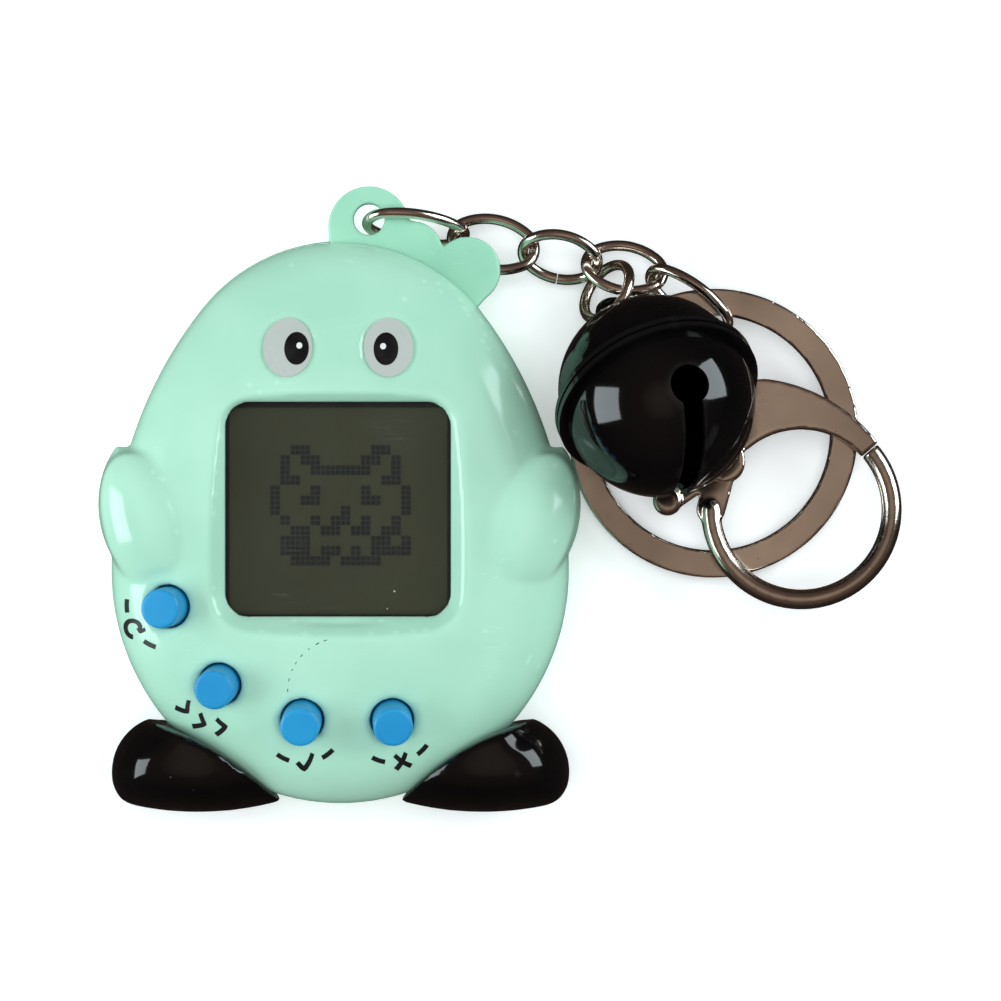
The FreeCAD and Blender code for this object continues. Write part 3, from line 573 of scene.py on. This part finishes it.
def wing_weight(points):
    """1 near the two wings, where they run into the egg."""
    side = ramp(np.abs(points[:, 0]), WING_INNER_MM, WING_INNER_MM + 1.6)
    low = ramp(points[:, 1], WING_LOW_MM, WING_LOW_MM + 2.0)
    high = 1 - ramp(points[:, 1], WING_HIGH_MM, WING_HIGH_MM + 2.0)
    front = ramp(points[:, 2], 7.4, 8.6)
    button = np.hypot(points[:, 0] - RESET_MM[0], points[:, 1] - RESET_MM[1])
    return side * low * high * front * ramp(button, 2.6, 3.6)


def frame_weight(points):
    """1 on the outer edge of the frame round the screen."""
    across = np.abs(points[:, 0]) - 12.7
    along = np.abs(points[:, 1] - SCREEN_MIDDLE_MM) - 12.1
    out = np.maximum(across, along)
    return (1 - ramp(np.abs(out), 0.5, 1.3)) * ramp(points[:, 2], 12.6, 13.4)


def surface_of(piece):
    """A search tree of a piece's faces."""
    points = [v.co.copy() for v in piece.data.vertices]
    faces = [tuple(p.vertices) for p in piece.data.polygons]
    return BVHTree.FromPolygons(points, faces)


def dropped(tree, x_mm, y_mm, lift_mm):
    """The point of a surface straight under x, y, lifted off it."""
    start = Vector((x_mm * MM, y_mm * MM, 0.1))
    place, normal, _, _ = tree.ray_cast(start, Vector((0, 0, -1)))
    return place + normal * lift_mm * MM


# ---------------------------------------------------------------- printed marks


def stroke_strip(line, width, closed=False):
    """Pairs of left and right points along a line in the plane."""
    pairs = []
    count = len(line)
    for i, (u, v) in enumerate(line):
        before = line[(i - 1) % count] if closed or i else line[i]
        after = line[(i + 1) % count] if closed or i < count - 1 else line[i]
        along = Vector((after[0] - before[0], after[1] - before[1])).normalized()
        side = Vector((-along.y, along.x)) * width / 2
        pairs.append(((u + side.x, v + side.y), (u - side.x, v - side.y)))
    return pairs


def divided(corners, step=0.15):
    """Points along straight runs between corners, close together."""
    line = [corners[0]]
    for (u0, v0), (u1, v1) in zip(corners, corners[1:]):
        parts = max(1, math.ceil(math.hypot(u1 - u0, v1 - v0) / step))
        for k in range(1, parts + 1):
            line.append((u0 + (u1 - u0) * k / parts, v0 + (v1 - v0) * k / parts))
    return line


def turn_mark():
    """A round arrow, between two short dashes."""
    arc = [(0.72 * math.cos(a), 0.72 * math.sin(a)) for a in np.linspace(0.6, 5.6, 26)]
    head = divided([(0.22, 0.5), (0.66, 0.42), (0.86, 0.9)])
    return [arc, head, *side_dashes()]


def step_mark():
    """Three arrowheads in a row."""
    return [divided([(u - 0.42, 0.72), (u + 0.42, 0.0), (u - 0.42, -0.72)]) for u in (-1.9, 0.0, 1.9)]


def tick_mark():
    """A tick, between two short dashes."""
    return [divided([(-0.75, 0.0), (-0.2, -0.6), (0.8, 0.7)]), *side_dashes()]


def cross_mark():
    """A cross, between two short dashes."""
    return [
        divided([(-0.6, -0.65), (0.6, 0.65)]),
        divided([(-0.6, 0.65), (0.6, -0.65)]),
        *side_dashes(),
    ]


def side_dashes():
    """A short dash on each side of a sign."""
    return [divided([(side * 1.5, 0.0), (side * 2.7, 0.0)]) for side in (-1, 1)]


# Each button: node, middle in millimetres, direction of its mark in degrees, and the mark.
MARKS = (
    ("reset_button", RESET_MM, 212.0, turn_mark()),
    ("select_button", SELECT_MM, 243.0, step_mark()),
    ("decide_button", DECIDE_MM, 275.0, tick_mark()),
    ("cancel_button", CANCEL_MM, 283.0, cross_mark()),
)


def print_marks(tree):
    """The generic signs printed beside the buttons, each on an arc round its button."""
    for node, (x, y), direction, lines in MARKS:
        points = []
        faces = []
        for line in lines:
            first = len(points)
            for pair in stroke_strip(line, LABEL_STROKE_MM):
                for u, v in pair:
                    angle = math.radians(direction) + u * LABEL_SCALE / LABEL_RADIUS_MM
                    radius = LABEL_RADIUS_MM - v * LABEL_SCALE
                    spot = (x + radius * math.cos(angle), y + radius * math.sin(angle))
                    points.append(dropped(tree, *spot, PRINT_LIFT_MM))
            for k in range(first, len(points) - 2, 2):
                faces.append((k, k + 1, k + 3, k + 2))
        new_piece(node.replace("button", "sign"), points, faces, INK_AND_SHADOW_BLACK, "case")


def screen_dots():
    """The creature on the display, as small square dots just above its glass."""
    dot = LCD_CELL_MM / 2
    gap = 0.07
    z = (LCD_TOP_MM + 0.03) * MM
    points = []
    faces = []
    for row, text in enumerate(PET_ROWS):
        for column, letter in enumerate(text):
            if letter != "X":
                continue
            for quarter in range(4):
                x = LCD_LEFT_MM + column * LCD_CELL_MM + (quarter % 2) * dot
                y = LCD_UP_MM - row * LCD_CELL_MM - (quarter // 2) * dot
                first = len(points)
                for dx, dy in ((0, -dot + gap), (dot - gap, -dot + gap), (dot - gap, 0), (0, 0)):
                    points.append(((x + dx) * MM, (y + dy) * MM, z))
                faces.append(tuple(range(first, first + 4)))
    new_piece("screen_creature_dots", points, faces, SEGMENT_DARK, "case")


def screen_edge_shadow():
    """Painted shadow: a flat black frame lying on the display's glass round the opening, where the
    recess's edge casts shade, widest along the top.
    """
    z = (LCD_TOP_MM + 0.02) * MM
    left, right, low, high = SHADOW_INNER_MM
    inner = [(left, low), (right, low), (right, high), (left, high)]
    wide, tall = SHADOW_OUTER_MM
    middle = SCREEN_MIDDLE_MM
    below = middle - tall
    above = middle + tall
    outer = [(-wide, below), (wide, below), (wide, above), (-wide, above)]
    points = [(x * MM, y * MM, z) for x, y in inner + outer]
    faces = [(4 + k, 4 + (k + 1) % 4, (k + 1) % 4, k) for k in range(4)]
    new_piece("screen_edge_shadow", points, faces, INK_AND_SHADOW_BLACK, "case")


def scuff_marks(tree):
    """A row of short dark scuffs across the face, between two of the buttons and the screen."""
    line = arc_through(*SCUFF_MM, 90)
    rng = np.random.default_rng(4)
    points = []
    faces = []
    place = 1
    while place < 84:
        length = int(rng.integers(2, 6))
        width = rng.uniform(0.05, 0.11)
        first = len(points)
        for pair in stroke_strip([tuple(p) for p in line[place : place + length]], width):
            for x, y in pair:
                points.append(dropped(tree, x, y, PRINT_LIFT_MM))
        for k in range(first, len(points) - 2, 2):
            faces.append((k, k + 1, k + 3, k + 2))
        place += length + int(rng.integers(2, 8))
    new_piece("scuff_marks", points, faces, INK_AND_SHADOW_BLACK, "case")


def oval_patch(name, tree, middle, radii, crown_mm, material):
    """A slightly domed printed oval on an eye."""
    rings = 7
    around = 40
    points = [dropped(tree, *middle, crown_mm)]
    faces = []
    for ring in range(1, rings + 1):
        share = ring / rings
        lift = crown_mm * (1 - share**3) + 0.01
        for k in range(around):
            angle = 2 * math.pi * k / around
            x = middle[0] + radii[0] * share * math.cos(angle)
            y = middle[1] + radii[1] * share * math.sin(angle)
            points.append(dropped(tree, x, y, lift))
    for k in range(around):
        following = (k + 1) % around
        faces.append((0, 1 + k, 1 + following))
        for ring in range(1, rings):
            inner = 1 + (ring - 1) * around
            outer = inner + around
            faces.append((inner + k, outer + k, outer + following, inner + following))
    piece = new_piece(name, points, faces, material, "case")
    piece.data.polygons.foreach_set("use_smooth", np.ones(len(faces), dtype=bool))
    return piece


def paint_eyes(eyes):
    """Pupils with a small glint."""
    spots = (
        ("left", (-4.18, 17.57), (-3.9, 17.85)),
        ("right", (4.84, 17.52), (4.55, 17.78)),
    )
    for (side, pupil, glint), eye in zip(spots, eyes):
        tree = surface_of(eye)
        oval = oval_patch(side + "_pupil", tree, pupil, (1.25, 1.68), 0.05, PUPIL_BLACK)
        oval_patch(side + "_glint", surface_of(oval), glint, (0.3, 0.32), 0.03, GLINT_WHITE)


# ---------------------------------------------------------------- stage


def add_camera():
    """The camera that looks straight down at the toy."""
    data = bpy.data.cameras.new("camera")
    data.lens = CAMERA_LENS
    data.sensor_width = SENSOR
    data.clip_start = 0.01
    data.clip_end = 10.0
    camera = bpy.data.objects.new("camera", data)
    camera.location = CAMERA_PLACE
    bpy.context.scene.collection.objects.link(camera)
    bpy.context.scene.camera = camera


def add_softbox(name, place, target, size, power, colour, seen_in_gloss=True):
    """A rectangular lamp at a place, turned to a target."""
    data = bpy.data.lights.new(name, "AREA")
    data.shape = "RECTANGLE"
    data.size = size[0]
    data.size_y = size[1]
    data.energy = power
    data.color = colour
    light = bpy.data.objects.new(name, data)
    light.location = place
    light.rotation_euler = (Vector(target) - Vector(place)).to_track_quat("-Z", "Y").to_euler()
    light.visible_glossy = seen_in_gloss
    bpy.context.scene.collection.objects.link(light)


def studio_room():
    """A warm dim room, darker towards the floor than overhead."""
    world = bpy.data.worlds.new("room")
    world.use_nodes = True
    tree = world.node_tree
    split = tree.nodes.new("ShaderNodeSeparateXYZ")
    tree.links.new(tree.nodes.new("ShaderNodeTexCoord").outputs["Generated"], split.inputs["Vector"])
    height = tree.nodes.new("ShaderNodeValToRGB")
    tree.links.new(split.outputs["Z"], height.inputs["Fac"])
    ramp_points = height.color_ramp.elements
    ramp_points[0].position = 0.1
    ramp_points[0].color = (0.03, 0.022, 0.018, 1.0)
    ramp_points[1].position = 1.0
    ramp_points[1].color = (0.33, 0.26, 0.21, 1.0)
    middle = ramp_points.new(0.9)
    middle.color = (0.12, 0.08, 0.065, 1.0)
    tree.links.new(height.outputs["Color"], tree.nodes["Background"].inputs["Color"])
    return world


def add_stage():
    """The table, the room and the lamps."""
    low = cad_box[0].z - 0.0001
    half = 1.2
    mesh = bpy.data.meshes.new("table")
    corners = [(-half, -half, low), (half, -half, low), (half, half, low), (-half, half, low)]
    mesh.from_pydata(corners, [], [(0, 1, 2, 3)])
    mesh.materials.append(table_top())
    table = bpy.data.objects.new("table", mesh)
    bpy.context.scene.collection.objects.link(table)
    table.visible_glossy = False
    bpy.context.scene.world = studio_room()
    bpy.context.scene.view_settings.view_transform = "Standard"
    middle = (0.012, 0.0, 0.01)
    cool = (0.86, 0.96, 1.0)
    add_softbox("left_softbox", (-0.42, -0.02, 0.19), middle, (0.30, 0.30), 1.5, cool)
    add_softbox("right_softbox", (0.42, 0.17, 0.20), middle, (0.30, 0.30), 1.5, cool)
    add_softbox("overhead_fill", (0.0, 0.0, 0.7), middle, (0.7, 0.7), 4.0, cool, False)


# ---------------------------------------------------------------- the object


def dress_nodes():
    """Gives every CAD node its own material."""
    for name, node in frame["nodes"].items():
        node.data.materials.clear()
        node.data.materials.append(MATERIALS[SLOT_OF[name]])


SLOT_OF = node_slots()
add_camera()
add_stage()
dress_nodes()
shell = softened(
    "front_shell", "front_shell_soft", 0.25, 4, ((wing_weight, 6), (frame_weight, 8)), winged
)
for node in ("left_foot", "right_foot"):
    softened(node, node + "_soft", 0.25, 6, ((lambda p: np.ones(len(p)), 10),), pillowed)
softened("comb_eyelet", "comb_eyelet_soft", 0.2, 4, ((lambda p: np.ones(len(p)), 6),))
for button in ("reset", "select", "decide", "cancel"):
    softened(button + "_button", button + "_button_soft", 0.12, 4, ((lambda p: np.ones(len(p)), 4),))
for node in ("clasp_body", "clasp_gate", "clasp_swivel"):
    softened(node, node + "_soft", 0.13, 4, ((lambda p: np.ones(len(p)), 10),))
softened("split_ring", "split_ring_soft", 0.12, 4, ((lambda p: np.ones(len(p)), 5),))
eyes = [frame["nodes"]["left_eye"], frame["nodes"]["right_eye"]]
paint_eyes(eyes)
screen_dots()
# Painted shadow round the edges of the display.
screen_edge_shadow()
face = surface_of(shell)
print_marks(face)
scuff_marks(face)
